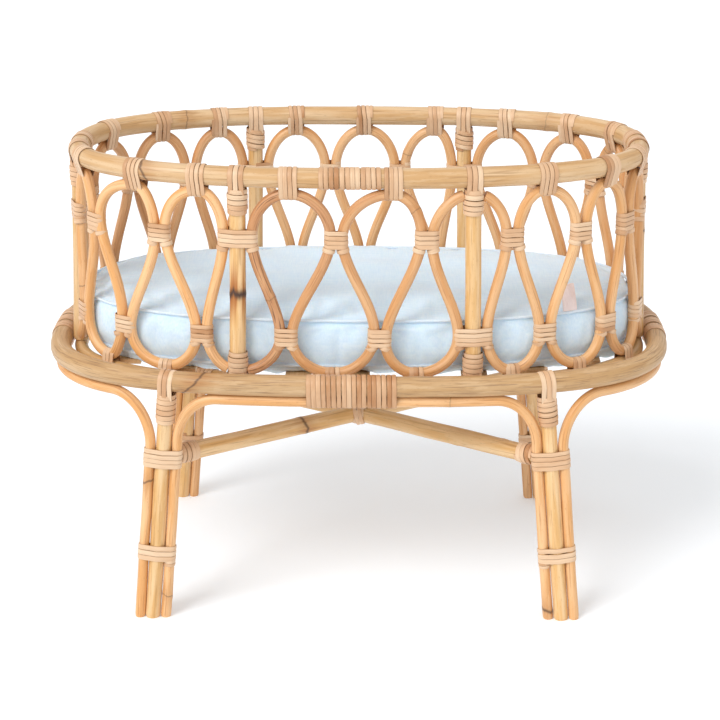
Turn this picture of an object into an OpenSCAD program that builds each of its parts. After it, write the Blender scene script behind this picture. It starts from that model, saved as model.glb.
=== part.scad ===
// Rattan bassinet on a four-legged stand, doll size. Millimetres, +Z up.
// The origin is on the floor under the middle of the stand; X runs along the length.
// The sleeping basket is an oval wall of one wavy cane, looped between posts, a base ring
// and a thick top rim. It sits inside the ring of the stand, and a loose mattress lies in it.

/* [Top rim] */
// Half the length of the rim, to the middle of the pole
rim_half_length = 243.8; // [220:0.1:246]
// Half the width of the rim, to the middle of the pole
rim_half_width = 120.2; // [112:0.1:124]
// Squareness of the oval: 2 is an ellipse, more is squarer
rim_squareness = 2.46; // [2.2:0.02:2.8]
// Height of the middle of the rim above the floor
rim_z = 391.5; // [385:0.5:400]
// Thickness of the rim pole
rim_d = 17; // [14:0.5:18]

/* [Basket wall] */
// How much wider the wall is at the base than at the rim, as a share
flare = 0.025; // [0:0.005:0.025]
// Thickness of the looped cane
loop_d = 9.2; // [7:0.2:9.6]
// Thickness of the six upright posts
post_d = 13.6; // [11:0.2:14]
// Thickness of the base ring
base_d = 12; // [10:0.5:12]
// Height of the middle of the base ring
base_z = 212; // [208:0.5:214]
// Height at which neighbouring arches are bound together
upper_tie_z = 340; // [325:1:350]
// Height at which neighbouring feet are bound together
lower_tie_z = 255; // [245:1:265]

/* [Stand] */
// Half the length of the stand ring, to the middle of the pole
ring_half_length = 266; // [266:0.5:275]
// Half the width of the stand ring, to the middle of the pole
ring_half_width = 146.3; // [146:0.1:155]
// Squareness of the stand ring
ring_squareness = 2.95; // [2.8:0.05:3.2]
// Height of the middle of the stand ring
ring_z = 219.5; // [217:0.5:222]
// Thickness of the stand ring
ring_d = 18; // [16:0.5:18]
// Thickness of the middle pole of each leg
leg_d = 13.2; // [11:0.2:14]
// Thickness of the apron canes, whose ends are the outer canes of the legs
apron_d = 9; // [7:0.2:9]
// Where the legs meet the ring, along X
leg_top_x = 160; // [150:1:165]
// Where the legs stand on the floor, along X
foot_x = 179; // [170:1:190]
// Height of the binding that closes the foot of each leg
foot_tie_z = 62; // [50:1:80]
// Thickness of the two crossed brace poles
brace_d = 15.6; // [12:0.2:16]
// Height of the brace and the upper bindings at the front legs
brace_front_z = 150; // [135:1:155]
// Height of the brace and the upper bindings at the back legs
brace_back_z = 132; // [130:1:155]

/* [Mattress] */
// Half the length of the mattress
mattress_half_length = 233; // [210:0.5:233]
// Half the width of the mattress
mattress_half_width = 109.4; // [95:0.2:109.4]
// Thickness of the mattress at its edge
mattress_h = 50; // [30:1:60]

/* [Hidden] */
$fn = 32;

// Colours of the cane, the peel that binds it and the mattress cover
pole_colour = [0.85, 0.71, 0.52];
cane_colour = [0.86, 0.64, 0.42];
peel_colour = [0.92, 0.78, 0.64];
cover_colour = [0.80, 0.88, 0.94];

rim_r = rim_d / 2;
loop_r = loop_d / 2;
post_r = post_d / 2;
base_r = base_d / 2;
ring_r = ring_d / 2;
leg_r = leg_d / 2;
apron_r = apron_d / 2;
brace_r = brace_d / 2;

// Air left between pieces that only touch
touch = 0.2;
// Thickness of one layer of peel, and how much wider than its cane a binding is bored
peel = 1.5;
bore = 0.16;

arch_z = rim_z - rim_r - loop_r - touch;
foot_z = base_z + base_r + loop_r + touch;
apron_z = ring_z - ring_r - apron_r - touch;

// Half-loop widths along the rim, from the left end post round the front, the right end
// and the back. Even stations are upper bindings and odd ones are arch tops.
half_widths = [28, 26, 33, 31.5, 34.5, 32,
    41, 40, 40.5, 32.5, 41,
    33, 29, 32, 28, 25, 24, 31,
    22, 19, 18.5, 26, 27, 30, 30, 40,
    27, 33, 33, 32, 32, 38,
    34, 27, 28, 29, 28, 28, 25, 26.5];
// How far each station leans along the wall, from half its height up to the rim: the loops
// are set by hand
leans = [0, 0, -13, 8, -4.5, -2,
    0, 1.5, 2, 7.5, 6,
    0, 0, 0, 2, 0, 0, -3,
    0, 0, 0, 0, 0, 0, 0, 0,
    0, 0, 0, 0, 0, 0,
    0, 0, 0, 0, 0, 0, 0, 0];
// Distance of the left end post from the left tip of the oval, towards the front
first_station = 20;
// Stations that have a post: left end, front left, front right, right end, back right, back left
post_stations = [0, 6, 11, 18, 26, 32];
side_post_stations = [6, 11, 26, 32];
stations = len(half_widths);

// ---- Oval plans -------------------------------------------------------------------

rim_plan = [rim_half_length, rim_half_width, rim_squareness];
ring_plan = [ring_half_length, ring_half_width, ring_squareness];
mattress_plan = [mattress_half_length, mattress_half_width, rim_squareness];

function signed_power(v, p) = sign(v) * pow(abs(v), p);

// Point of a plan in direction t: 180 is the left tip, 270 the middle of the front
function plan_point(plan, t) =
    pow(pow(abs(cos(t)) / plan[0], plan[2]) + pow(abs(sin(t)) / plan[1], plan[2]), -1 / plan[2])
    * [cos(t), sin(t)];

// Outward direction of a plan at a point
function plan_normal(plan, p) = let(
    g = [signed_power(p.x / plan[0], plan[2] - 1) / plan[0],
         signed_power(p.y / plan[1], plan[2] - 1) / plan[1]])
    g / norm(g);

// Width of a plan, at one side, at distance x from the middle
function plan_y(plan, x) =
    plan[1] * pow(1 - pow(abs(x) / plan[0], plan[2]), 1 / plan[2]);

// Distance travelled along a plan from its left tip, against the angle
table_steps = 360;
function plan_table(plan) = [
    for (i = 0, s = 0; i <= table_steps;
         s = s + norm(plan_point(plan, 181 + i) - plan_point(plan, 180 + i)), i = i + 1)
        [s, 180 + i]];

rim_table = plan_table(rim_plan);
ring_table = plan_table(ring_plan);
rim_length = rim_table[table_steps][0];
ring_length = ring_table[table_steps][0];

function wrap_round(s, total) = s - total * floor(s / total);
function on_plan(plan, table, s) =
    plan_point(plan, lookup(wrap_round(s, table[table_steps][0]), table));
function on_rim_plan(s) = on_plan(rim_plan, rim_table, s);
function on_ring_plan(s) = on_plan(ring_plan, ring_table, s);

// Where each station is along the rim, fitted to the rim's real length
widths_sum = [for (i = 0, t = 0; i <= stations; t = t + (i < stations ? half_widths[i] : 0), i = i + 1) t];
function station(i) = first_station + widths_sum[i] * rim_length / widths_sum[stations];
function cell_width(i) = half_widths[i] * rim_length / widths_sum[stations];
function has_post(i) = len(search(i % stations, post_stations)) > 0;

// Distance along the rim of a point of the wall at height z, with the lean of its station
lean_table = [for (i = [0 : stations]) [station(i), leans[i % stations]]];
middle_z = (rim_z + base_z) / 2;
function leaning(s, z) = s + lookup(s, lean_table) * (z - middle_z) / (rim_z - middle_z);

// The wall widens a little from the rim down to its base
function wall_scale(z) = 1 + flare * (rim_z - z) / (rim_z - base_z);
function on_wall(s, z) = let(p = on_rim_plan(leaning(s, z)) * wall_scale(z)) [p.x, p.y, z];

// ---- Canes ------------------------------------------------------------------------

function unit(v) = v / norm(v);

// Direction of a path at point i. The ends of an open path that stand on the floor
// are cut level, so their direction is straight up or down.
function direction(path, i, closed, level_ends) = let(
    n = len(path),
    before = closed ? path[(i + n - 1) % n] : path[max(i - 1, 0)],
    after = closed ? path[(i + 1) % n] : path[min(i + 1, n - 1)],
    d = after - before)
    level_ends && (i == 0 || i == n - 1) ? [0, 0, sign(d.z)] : unit(d);

// One bent cane along a path; side[i] is any direction across the path at point i
module cane(path, side, r, sides = 8, closed = false, level_ends = false) {
    n = len(path);
    rings = [for (i = [0 : n - 1]) let(
        d = direction(path, i, closed, level_ends),
        u = unit(cross(d, side[i])),
        v = cross(u, d))
        for (j = [0 : sides - 1]) let(a = 360 * (j + 0.5) / sides)
            path[i] + r * (cos(a) * v + sin(a) * u)];
    walls = [for (i = [0 : closed ? n - 1 : n - 2], j = [0 : sides - 1]) let(
        here = i * sides,
        next = ((i + 1) % n) * sides,
        k = (j + 1) % sides)
        [here + j, here + k, next + k, next + j]];
    caps = closed ? [] : [
        [for (j = [sides - 1 : -1 : 0]) j],
        [for (j = [0 : sides - 1]) (n - 1) * sides + j]];
    polyhedron(points = rings, faces = concat(walls, caps));
}

// A closed oval ring of pole at height z
module oval_ring(plan, z, r, steps, sides) {
    table = plan_table(plan);
    points = [for (i = [0 : steps - 1]) on_plan(plan, table, i * table[table_steps][0] / steps)];
    cane([for (p = points) [p.x, p.y, z]],
         [for (p = points) [0, 0, 1]],
         r, sides, closed = true);
}

// A straight pole between two points
module pole(from, to, r) {
    d = to - from;
    translate(from)
        rotate([0, atan2(norm([d.x, d.y]), d.z), atan2(d.y, d.x)])
            cylinder(r = r, h = norm(d));
}

// Puts a child at a point, +Y pointing out of a plan
module facing_out(plan, p) {
    n = plan_normal(plan, p);
    translate(p) rotate([0, 0, atan2(n.y, n.x) - 90]) children();
}

module at_wall(s, z) { facing_out(rim_plan, on_wall(s, z)) children(); }
module at_rim(s) { let(p = on_rim_plan(s)) facing_out(rim_plan, [p.x, p.y, rim_z]) children(); }
module at_ring(s) { let(p = on_ring_plan(s)) facing_out(ring_plan, [p.x, p.y, ring_z]) children(); }

// ---- Basket frame -----------------------------------------------------------------

module top_rim() {
    color(pole_colour) oval_ring(rim_plan, rim_z, rim_r, 72, 12);
}

base_plan = [rim_half_length * wall_scale(base_z), rim_half_width * wall_scale(base_z), rim_squareness];

module base_ring() {
    color(pole_colour) oval_ring(base_plan, base_z, base_r, 60, 10);
}

// Cross slats that carry the mattress, their ends let into the base ring
slat_count = 9;
slat_w = 22;
slat_h = 4.5;
slat_pitch = 50;

module base_slats() {
    color(cane_colour)
        for (i = [0 : slat_count - 1]) {
            x = (i - (slat_count - 1) / 2) * slat_pitch;
            reach = plan_y(base_plan, abs(x) + slat_w / 2) - base_r + 1.5;
            translate([x, 0, base_z + base_r - slat_h / 2])
                cube([slat_w, 2 * reach, slat_h], center = true);
        }
}

// Posts stand on the base ring and stop just under the rim
module post_at(i) {
    s = station(i);
    color(pole_colour)
        pole(on_wall(s, base_z + base_r + 2 * touch),
             on_wall(s, rim_z - rim_r - 2 * touch), post_r);
}

module post_left_end() { post_at(0); }
module post_front_left() { post_at(6); }
module post_front_right() { post_at(11); }
module post_right_end() { post_at(18); }
module post_back_right() { post_at(26); }
module post_back_left() { post_at(32); }

// ---- Looped cane ------------------------------------------------------------------

// Where the cane passes beside a station: close to its neighbour, or beside the post
post_wrap_r = post_r + 2.4;
function beside(i) = has_post(i) ? post_r + loop_r + touch / 2 : loop_r + touch / 2;

curve_steps = 5;
// Length of the straight pull at both ends of the slanting stretch
pull = 27;

function between(a, b, t) = a + (b - a) * t;
function bezier(a, b, c, d, t) = let(u = 1 - t)
    u * u * u * a + 3 * u * u * t * b + 3 * u * t * t * c + t * t * t * d;

// Half a loop, from the arch top at x = 0 down to the foot at x = w
function half_loop(w, top_gap, low_gap, arch_cut, foot_cut) = let(
    arch_w = w - top_gap,
    foot_w = w - low_gap,
    arch_from = asin(arch_cut / arch_w),
    foot_to = acos(foot_cut / foot_w))
    concat(
        [for (k = [0 : curve_steps]) let(a = between(arch_from, 90, k / curve_steps))
            [arch_w * sin(a), upper_tie_z + (arch_z - upper_tie_z) * cos(a)]],
        [for (k = [1 : curve_steps]) let(t = k / curve_steps) [
            bezier(arch_w, arch_w, low_gap, low_gap, t),
            bezier(upper_tie_z, upper_tie_z - pull, lower_tie_z + pull, lower_tie_z, t)]],
        [for (k = [1 : curve_steps]) let(a = between(0, foot_to, k / curve_steps))
            [w - foot_w * cos(a), lower_tie_z - (lower_tie_z - foot_z) * sin(a)]]);

function reversed(list) = [for (i = [len(list) - 1 : -1 : 0]) list[i]];

// The stretch of cane between station i and the next one, as distance and height
function cell(i) = let(
    arch = i % 2 == 1 ? i : i + 1,
    foot = i % 2 == 1 ? i + 1 : i,
    half = half_loop(cell_width(i), beside(foot), beside(arch),
        has_post(arch) ? post_wrap_r : 0, has_post(foot) ? post_wrap_r : 0))
    i % 2 == 1 ? [for (p = half) [station(i) + p.x, p.y]]
               : reversed([for (p = half) [station(i + 1) - p.x, p.y]]);

// One cane from one post to the next
module looped_cane(first, last) {
    route = [for (i = [first : last - 1]) let(c = cell(i))
        for (k = [i == first ? 0 : 1 : len(c) - 1]) c[k]];
    color(cane_colour)
        cane([for (p = route) on_wall(p.x, p.y)],
             [for (p = route) let(n = plan_normal(rim_plan, on_rim_plan(p.x))) [n.x, n.y, 0]],
             loop_r);
}

module loops_front_left() { looped_cane(0, 6); }
module loops_front() { looped_cane(6, 11); }
module loops_front_right() { looped_cane(11, 18); }
module loops_back_right() { looped_cane(18, 26); }
module loops_back() { looped_cane(26, 32); }
module loops_back_left() { looped_cane(32, 40); }

// ---- Peel bindings of the basket ---------------------------------------------------

// Turns its outline upright, so that it wraps something that runs along X
module wrap_along(width) {
    rotate([90, 0, 90]) linear_extrude(height = width, center = true) children();
}

// Outline of a strip round a thick pole at the origin and a thinner one at height dz
module two_pole_outline(big_r, small_r, dz) {
    difference() {
        union() {
            circle(r = big_r + peel);
            translate([0, dz]) circle(r = small_r + peel);
            translate([0, dz / 2]) square([2 * (small_r + peel), abs(dz)], center = true);
        }
        circle(r = big_r + bore);
        translate([0, dz]) circle(r = small_r + bore);
    }
}

tie_w = 16;
tie_h = 16;

// Ties that hang the arches from the rim
module rim_ties() {
    color(peel_colour)
        for (i = [1 : 2 : stations - 1])
            if (!has_post(i))
                at_wall(station(i), rim_z)
                    wrap_along(tie_w) two_pole_outline(rim_r, loop_r, arch_z - rim_z);
}

// A flat binding round two neighbouring canes and the post between them, if there is one
module side_by_side_tie(i, z) {
    reach = beside(i);
    depth = (has_post(i) ? post_r : loop_r) + peel;
    at_wall(station(i), z)
        linear_extrude(height = tie_h, center = true)
            difference() {
                union() {
                    for (side = [-1, 1])
                        translate([side * reach, 0]) circle(r = loop_r + peel);
                    square([2 * reach, 2 * depth], center = true);
                }
                for (side = [-1, 1])
                    translate([side * reach, 0]) circle(r = loop_r + bore);
                if (has_post(i)) circle(r = post_r + bore);
            }
}

module upper_loop_ties() {
    color(peel_colour)
        for (i = [0 : 2 : stations - 1]) side_by_side_tie(i, upper_tie_z);
}

module lower_loop_ties() {
    color(peel_colour)
        for (i = [1 : 2 : stations - 1]) side_by_side_tie(i, lower_tie_z);
}

// Ties that hold the feet of the loops down on the base ring
module foot_ties() {
    color(peel_colour)
        for (i = [0 : 2 : stations - 1])
            if (!has_post(i))
                at_wall(station(i), base_z)
                    wrap_along(tie_w - 3) two_pole_outline(base_r, loop_r, foot_z - base_z);
}

// A strap over a pole, its two tails running along an upright post
module strap_outline(over_r, post, tail) {
    difference() {
        union() {
            circle(r = over_r + peel);
            translate([0, tail / 2]) square([2 * (post + peel), abs(tail)], center = true);
        }
        circle(r = over_r + bore);
        translate([0, tail / 2]) square([2 * (post + bore), abs(tail)], center = true);
    }
}

// A round wrap on an upright post, from height a to height b
module collar(r, a, b) {
    translate([0, 0, a]) difference() {
        cylinder(r = r + 2.2, h = b - a);
        translate([0, 0, -1]) cylinder(r = r + bore, h = b - a + 2);
    }
}

post_collar_h = 22;

// Straps over the rim at each post, held by a round wrap
module post_top_wraps() {
    tail = rim_r + post_collar_h;
    color(peel_colour)
        for (i = post_stations)
            at_wall(station(i), rim_z) {
                wrap_along(10) strap_outline(rim_r, post_r, -tail);
                collar(post_r, -tail, -rim_r - 1);
            }
}

// The same at the foot of the side posts, under the base ring. The two end posts stand
// hard against the stand ring, so they have none.
module post_foot_wraps() {
    tail = base_r + post_collar_h;
    color(peel_colour)
        for (i = side_post_stations)
            at_wall(station(i), base_z) {
                wrap_along(10) strap_outline(base_r, post_r, tail);
                collar(post_r, base_r + 1, tail);
            }
}

// Close wrap over the scarf joint at the front of the rim
rim_wrap_from = 281;
rim_wrap_parts = 3;
rim_wrap_part_w = 16.8;
rim_wrap_gap = 0.5;

module rim_joint_wrap() {
    color(peel_colour)
        for (i = [0 : rim_wrap_parts - 1])
            at_rim(rim_wrap_from + i * (rim_wrap_part_w + rim_wrap_gap))
                wrap_along(rim_wrap_part_w) difference() {
                    circle(r = rim_r + peel);
                    circle(r = rim_r + bore);
                }
}

// ---- Mattress ----------------------------------------------------------------------

mattress_z = base_z + base_r + 0.4;
// Height as a share of the thickness, and how far the edge is drawn in there
mattress_profile = [[0, 9], [0.1, 2.5], [0.25, 0.5], [0.5, 0], [0.78, 0.5], [0.92, 3], [1, 9], [1.1, 60]];
mattress_steps = 60;

mattress_table = plan_table(mattress_plan);

function mattress_ring(level) = [
    for (i = [0 : mattress_steps - 1]) let(
        p = on_plan(mattress_plan, mattress_table, i * mattress_table[table_steps][0] / mattress_steps),
        q = p - plan_normal(mattress_plan, p) * level[1])
        [q.x, q.y, mattress_z + level[0] * mattress_h]];

module mattress() {
    n = mattress_steps;
    levels = len(mattress_profile);
    points = [for (level = mattress_profile) each mattress_ring(level)];
    walls = [for (i = [0 : levels - 2], j = [0 : n - 1]) let(k = (j + 1) % n)
        [i * n + k, i * n + j, (i + 1) * n + j, (i + 1) * n + k]];
    color(cover_colour)
        polyhedron(points = points, faces = concat(walls, [
            [for (j = [0 : n - 1]) j],
            [for (j = [n - 1 : -1 : 0]) (levels - 1) * n + j]]));
}

// Folded cloth tab sewn into the top seam
tag_x = 183.5;
tag_size = [13, 1, 24];

module mattress_tag() {
    y = -plan_y(mattress_plan, tag_x) + 9;
    n = plan_normal(mattress_plan, [tag_x, y]);
    color("white")
        translate([tag_x, y, mattress_z + 0.95 * mattress_h])
            rotate([0, 0, atan2(n.y, n.x) + 90])
                rotate([-12, 0, 0])
                    translate([0, 0, tag_size.z / 2]) cube(tag_size, center = true);
}

// ---- Stand -------------------------------------------------------------------------

module stand_ring() {
    color(pole_colour) oval_ring(ring_plan, ring_z, ring_r, 72, 12);
}

leg_y = plan_y(ring_plan, leg_top_x);
leg_top_z = ring_z - ring_r - touch;
lean = (foot_x - leg_top_x) / leg_top_z;
// Distance between the middle pole of a leg and the cane beside it
cane_offset = leg_r + apron_r + touch;

// A point on a leg: side and face are -1 or 1, off moves outward along X
function on_leg(side, face, off, z) = [side * (foot_x - lean * z + off), face * leg_y, z];

module leg(side, face) {
    below = 5;
    color(pole_colour)
        difference() {
            pole(on_leg(side, face, 0, -below), on_leg(side, face, 0, leg_top_z - 0.6), leg_r);
            translate([side * foot_x, face * leg_y, -below])
                cube([4 * leg_d, 4 * leg_d, 2 * below], center = true);
        }
}

module leg_front_left() { leg(-1, -1); }
module leg_front_right() { leg(1, -1); }
module leg_back_left() { leg(-1, 1); }
module leg_back_right() { leg(1, 1); }

// Where the cane of an apron leaves its leg, and how far the bend to the ring runs
bend_z = apron_z - 44;
bend_run = 36;
leg_steps = 5;
bend_steps = 6;

// Distance along the stand ring of the point at x on the front side
function ring_s(x) =
    lookup(360 + atan2(-plan_y(ring_plan, x), x), [for (row = ring_table) [row[1], row[0]]]);

// From the floor, up the leg and round the bend, to the start of the level stretch
function apron_rise(side, face, off, s, way) = let(
    top = on_leg(side, face, off, bend_z),
    ring = on_ring_plan(s),
    shift = [top.x - ring.x, top.y - ring.y, 0])
    concat(
        [for (k = [0 : leg_steps]) on_leg(side, face, off, bend_z * k / leg_steps)],
        [for (k = [1 : bend_steps]) let(
            a = 90 * k / bend_steps,
            p = on_ring_plan(s + way * bend_run * (1 - cos(a))))
            [p.x, p.y, between(bend_z, apron_z, sin(a))] + shift * (1 - sin(a))]);

// An apron from distance s1 to s2 along the ring, with both its legs
module apron(leg1, s1, leg2, s2, steps) {
    level = [for (k = [1 : steps - 1]) let(
        p = on_ring_plan(between(s1 + bend_run, s2 - bend_run, k / steps)))
        [p.x, p.y, apron_z]];
    path = concat(
        apron_rise(leg1.x, leg1.y, leg1.z, s1, 1),
        level,
        reversed(apron_rise(leg2.x, leg2.y, leg2.z, s2, -1)));
    across = [for (p = path) let(n = plan_normal(ring_plan, [p.x, p.y])) [n.x, n.y, 0]];
    color(cane_colour) cane(path, across, apron_r, level_ends = true);
}

inner_x = leg_top_x + lean * (leg_top_z - bend_z) - cane_offset;
outer_x = leg_top_x + lean * (leg_top_z - bend_z) + cane_offset;

module apron_front() {
    apron([-1, -1, -cane_offset], ring_s(-inner_x), [1, -1, -cane_offset], ring_s(inner_x), 9);
}
module apron_back() {
    rotate(180) apron_front();
}
module apron_left() {
    apron([-1, 1, cane_offset], -ring_s(-outer_x), [-1, -1, cane_offset], ring_s(-outer_x), 15);
}
module apron_right() {
    rotate(180) apron_left();
}

// Straps over the stand ring at each leg, held by a round wrap
leg_collar_h = 29;

module leg_top_wraps() {
    tail = ring_r + leg_collar_h;
    color(peel_colour)
        for (side = [-1, 1], face = [-1, 1]) {
            top = on_leg(side, face, 0, ring_z);
            n = plan_normal(ring_plan, [top.x, top.y]);
            translate(top) rotate([0, 0, atan2(n.y, n.x) - 90])
                wrap_along(11) strap_outline(ring_r, leg_r + 1, -ring_r - 8);
            translate(on_leg(side, face, 0, ring_z - tail)) difference() {
                pole([0, 0, 0], [-side * lean * leg_collar_h, 0, leg_collar_h - 1.5], leg_r + 2.6);
                pole([side * lean, 0, -1], [-side * lean * tail, 0, tail], leg_r + bore);
            }
        }
}

// A flat binding round the three canes of a leg at height z
module three_cane_tie(side, face, z, h) {
    translate(on_leg(side, face, 0, z))
        rotate([0, -side * atan(lean), 0])
            linear_extrude(height = h, center = true) difference() {
                union() {
                    for (way = [-1, 1])
                        translate([way * cane_offset, 0]) circle(r = apron_r + peel);
                    square([2 * cane_offset, 2 * (leg_r + peel)], center = true);
                }
                for (way = [-1, 1])
                    translate([way * cane_offset, 0]) circle(r = apron_r + bore);
                circle(r = leg_r + bore);
            }
}

function brace_z(face) = face < 0 ? brace_front_z : brace_back_z;

module leg_upper_ties() {
    color(peel_colour)
        for (side = [-1, 1], face = [-1, 1])
            three_cane_tie(side, face, brace_z(face), 17);
}

module leg_foot_ties() {
    color(peel_colour)
        for (side = [-1, 1], face = [-1, 1])
            three_cane_tie(side, face, foot_tie_z, 16);
}

// ---- Crossed brace -----------------------------------------------------------------

brace_mid_z = (brace_front_z + brace_back_z) / 2;
// Gap between the middle of a leg and the end of a brace pole
brace_gap = 15;

// End of the brace at a leg, d away from the middle of the leg
function brace_end(side, face, d) = let(
    leg_point = on_leg(side, face, 0, brace_z(face)),
    centre = [0, 0, brace_mid_z])
    leg_point + d * unit(centre - leg_point);

module brace_pole(side) {
    pole(brace_end(side, -1, brace_gap), brace_end(-side, 1, brace_gap), brace_r);
}

// The poles are halved into each other where they cross
module halved_brace(side, keep) {
    half = 14;
    color(pole_colour)
        difference() {
            brace_pole(side);
            translate([0, 0, brace_mid_z - keep * (half / 2 - 0.05)])
                cube([2 * half, 2 * half, half], center = true);
        }
}

module brace_rising_right() { halved_brace(-1, 1); }
module brace_rising_left() { halved_brace(1, -1); }

// Peel lashed round the halving
crossing_tie_w = 8;
crossing_tie_reach = 13.8;

module brace_crossing_tie() {
    slope = atan((brace_back_z - brace_front_z) / (2 * leg_y));
    color(peel_colour)
        translate([0, 0, brace_mid_z]) rotate([slope, 0, 0])
            wrap_along(crossing_tie_w) difference() {
                square([2 * (crossing_tie_reach + peel), 2 * (brace_r + peel)], center = true);
                square([2 * crossing_tie_reach, 2 * (brace_r + bore)], center = true);
            }
}

// Peel wound over the ends of the brace poles
brace_wrap_l = 17;

module brace_end_wraps() {
    color(peel_colour)
        for (side = [-1, 1], face = [-1, 1])
            let(a = brace_gap, b = brace_gap + brace_wrap_l) difference() {
                pole(brace_end(side, face, a), brace_end(side, face, b), brace_r + 2);
                pole(brace_end(side, face, a - 5), brace_end(side, face, b + 5), brace_r + bore);
            }
}

// ---- Wide wraps of the stand ring ---------------------------------------------------

ring_wrap_w = 24.5;
// Gap between lengths, so that they stay apart on the inside of the curve
ring_wrap_gap = 0.8;

// Three short lengths of wrap side by side, round the ring and the apron under it
module wide_ring_wrap(s) {
    color(peel_colour)
        for (i = [-1 : 1])
            at_ring(s + i * (ring_wrap_w + ring_wrap_gap))
                wrap_along(ring_wrap_w) two_pole_outline(ring_r, apron_r, apron_z - ring_z);
}

module ring_front_wrap() { wide_ring_wrap(ring_length / 4 - 4); }
module ring_back_wrap() { wide_ring_wrap(ring_length * 3 / 4 - 4); }

// Shorter wraps at the two tips of the ring
end_wrap_w = 14;
end_wrap_gap = 4;

module ring_end_wraps() {
    color(peel_colour)
        for (tip = [0, ring_length / 2], i = [-1 : 1])
            at_ring(tip + (tip == 0 ? -10 : 10) + i * (end_wrap_w + end_wrap_gap))
                wrap_along(end_wrap_w) two_pole_outline(ring_r, apron_r, apron_z - ring_z);
}

top_rim();
base_ring();
base_slats();
post_left_end();
post_front_left();
post_front_right();
post_right_end();
post_back_right();
post_back_left();
loops_front_left();
loops_front();
loops_front_right();
loops_back_right();
loops_back();
loops_back_left();
rim_ties();
upper_loop_ties();
lower_loop_ties();
foot_ties();
post_top_wraps();
post_foot_wraps();
rim_joint_wrap();
mattress();
mattress_tag();
stand_ring();
ring_front_wrap();
ring_back_wrap();
ring_end_wraps();
leg_front_left();
leg_front_right();
leg_back_left();
leg_back_right();
apron_front();
apron_back();
apron_left();
apron_right();
leg_top_wraps();
leg_upper_ties();
leg_foot_ties();
brace_rising_right();
brace_rising_left();
brace_crossing_tie();
brace_end_wraps();
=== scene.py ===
"""A doll-size rattan bassinet on its stand, built round its CAD frame. Metres, +Z up."""

import math
import random

import bpy
import numpy as np
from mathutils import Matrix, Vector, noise


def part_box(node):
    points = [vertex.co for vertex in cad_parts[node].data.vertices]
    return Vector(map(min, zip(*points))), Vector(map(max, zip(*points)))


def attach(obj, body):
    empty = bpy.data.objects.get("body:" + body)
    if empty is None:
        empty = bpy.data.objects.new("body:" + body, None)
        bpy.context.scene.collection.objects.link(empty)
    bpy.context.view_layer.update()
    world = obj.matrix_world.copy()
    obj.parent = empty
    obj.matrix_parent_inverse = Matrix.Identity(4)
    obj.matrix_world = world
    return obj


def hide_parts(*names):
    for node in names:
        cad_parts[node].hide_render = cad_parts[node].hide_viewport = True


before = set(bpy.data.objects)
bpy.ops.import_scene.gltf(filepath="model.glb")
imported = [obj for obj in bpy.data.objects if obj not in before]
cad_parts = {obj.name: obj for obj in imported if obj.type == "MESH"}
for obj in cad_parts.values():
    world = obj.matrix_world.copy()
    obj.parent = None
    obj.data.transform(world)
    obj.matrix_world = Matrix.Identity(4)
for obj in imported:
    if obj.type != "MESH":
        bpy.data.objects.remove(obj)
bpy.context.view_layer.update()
mm = 0.001

# ---- Camera --------------------------------------------------------------------------
# A long lens in front of the piece, a little to the right of its middle. It is higher than the
# rim and tipped down, so that it sees the mattress over the front wall.

camera = bpy.data.objects.new("camera", bpy.data.cameras.new("camera"))
bpy.context.scene.collection.objects.link(camera)
bpy.context.scene.camera = camera
camera.data.lens = 100
camera.location = (0.025, -1.7168, 0.793)
camera.rotation_euler = (math.radians(70.7), 0, math.radians(0.8))

# ---- Studio --------------------------------------------------------------------------
# A white floor, white light from everywhere, and one large soft lamp at the front left,
# so that the legs throw pale shadows to the back right.


def linear(code):
    """A colour written as sRGB hex, as the four linear numbers that a shader takes."""
    parts = [int(code[i : i + 2], 16) / 255 for i in (1, 3, 5)]
    return [p / 12.92 if p < 0.04045 else ((p + 0.055) / 1.055) ** 2.4 for p in parts] + [1]


def add(tree, kind, sockets=None, **settings):
    """Adds one shader node, sets it up, and fills or links its sockets."""
    made = tree.nodes.new("ShaderNode" + kind)
    for name, value in settings.items():
        setattr(made, name, value)
    for socket, value in (sockets or {}).items():
        if isinstance(value, bpy.types.NodeSocket):
            tree.links.new(value, made.inputs[socket])
        else:
            made.inputs[socket].default_value = value
    return made


def material(name):
    """A new material, its node tree and its surface shader."""
    made = bpy.data.materials.new(name)
    made.use_nodes = True
    return made, made.node_tree, made.node_tree.nodes["Principled BSDF"]


def mesh_object(name, points, faces, finish, values=None):
    """A smooth mesh in one material. values holds a number or a vector for each point, by name."""
    mesh = bpy.data.meshes.new(name)
    mesh.from_pydata([tuple(p) for p in points], [], faces)
    for key, rows in (values or {}).items():
        rows = np.asarray(rows, np.float32)
        kind, field = ("FLOAT_VECTOR", "vector") if rows.ndim == 2 else ("FLOAT", "value")
        mesh.attributes.new(key, kind, "POINT").data.foreach_set(field, rows.ravel())
    mesh.materials.append(finish)
    mesh.shade_smooth()
    mesh.set_sharp_from_angle(angle=math.radians(50))
    made = bpy.data.objects.new(name, mesh)
    bpy.context.scene.collection.objects.link(made)
    return made


# Matt white board, painted, with no pattern of its own
board, tree, shader = material("painted_white_board")
shader.inputs["Base Color"].default_value = linear("#f3f7fb")
shader.inputs["Roughness"].default_value = 0.9
shader.inputs["Specular IOR Level"].default_value = 0.1
shader.inputs["Emission Color"].default_value = linear("#ffffff")
shader.inputs["Emission Strength"].default_value = 0.13
floor_reach = 15
corners = [(x * floor_reach, y * floor_reach, 0) for x, y in ((-1, -1), (1, -1), (1, 1), (-1, 1))]
mesh_object("floor", corners, [(0, 1, 2, 3)], board)

world = bpy.data.worlds.new("studio")
bpy.context.scene.world = world
world.use_nodes = True
world.node_tree.nodes["Background"].inputs["Color"].default_value = (1, 1, 1, 1)
world.node_tree.nodes["Background"].inputs["Strength"].default_value = 0.78
bpy.context.scene.view_settings.view_transform = "Standard"

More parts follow.
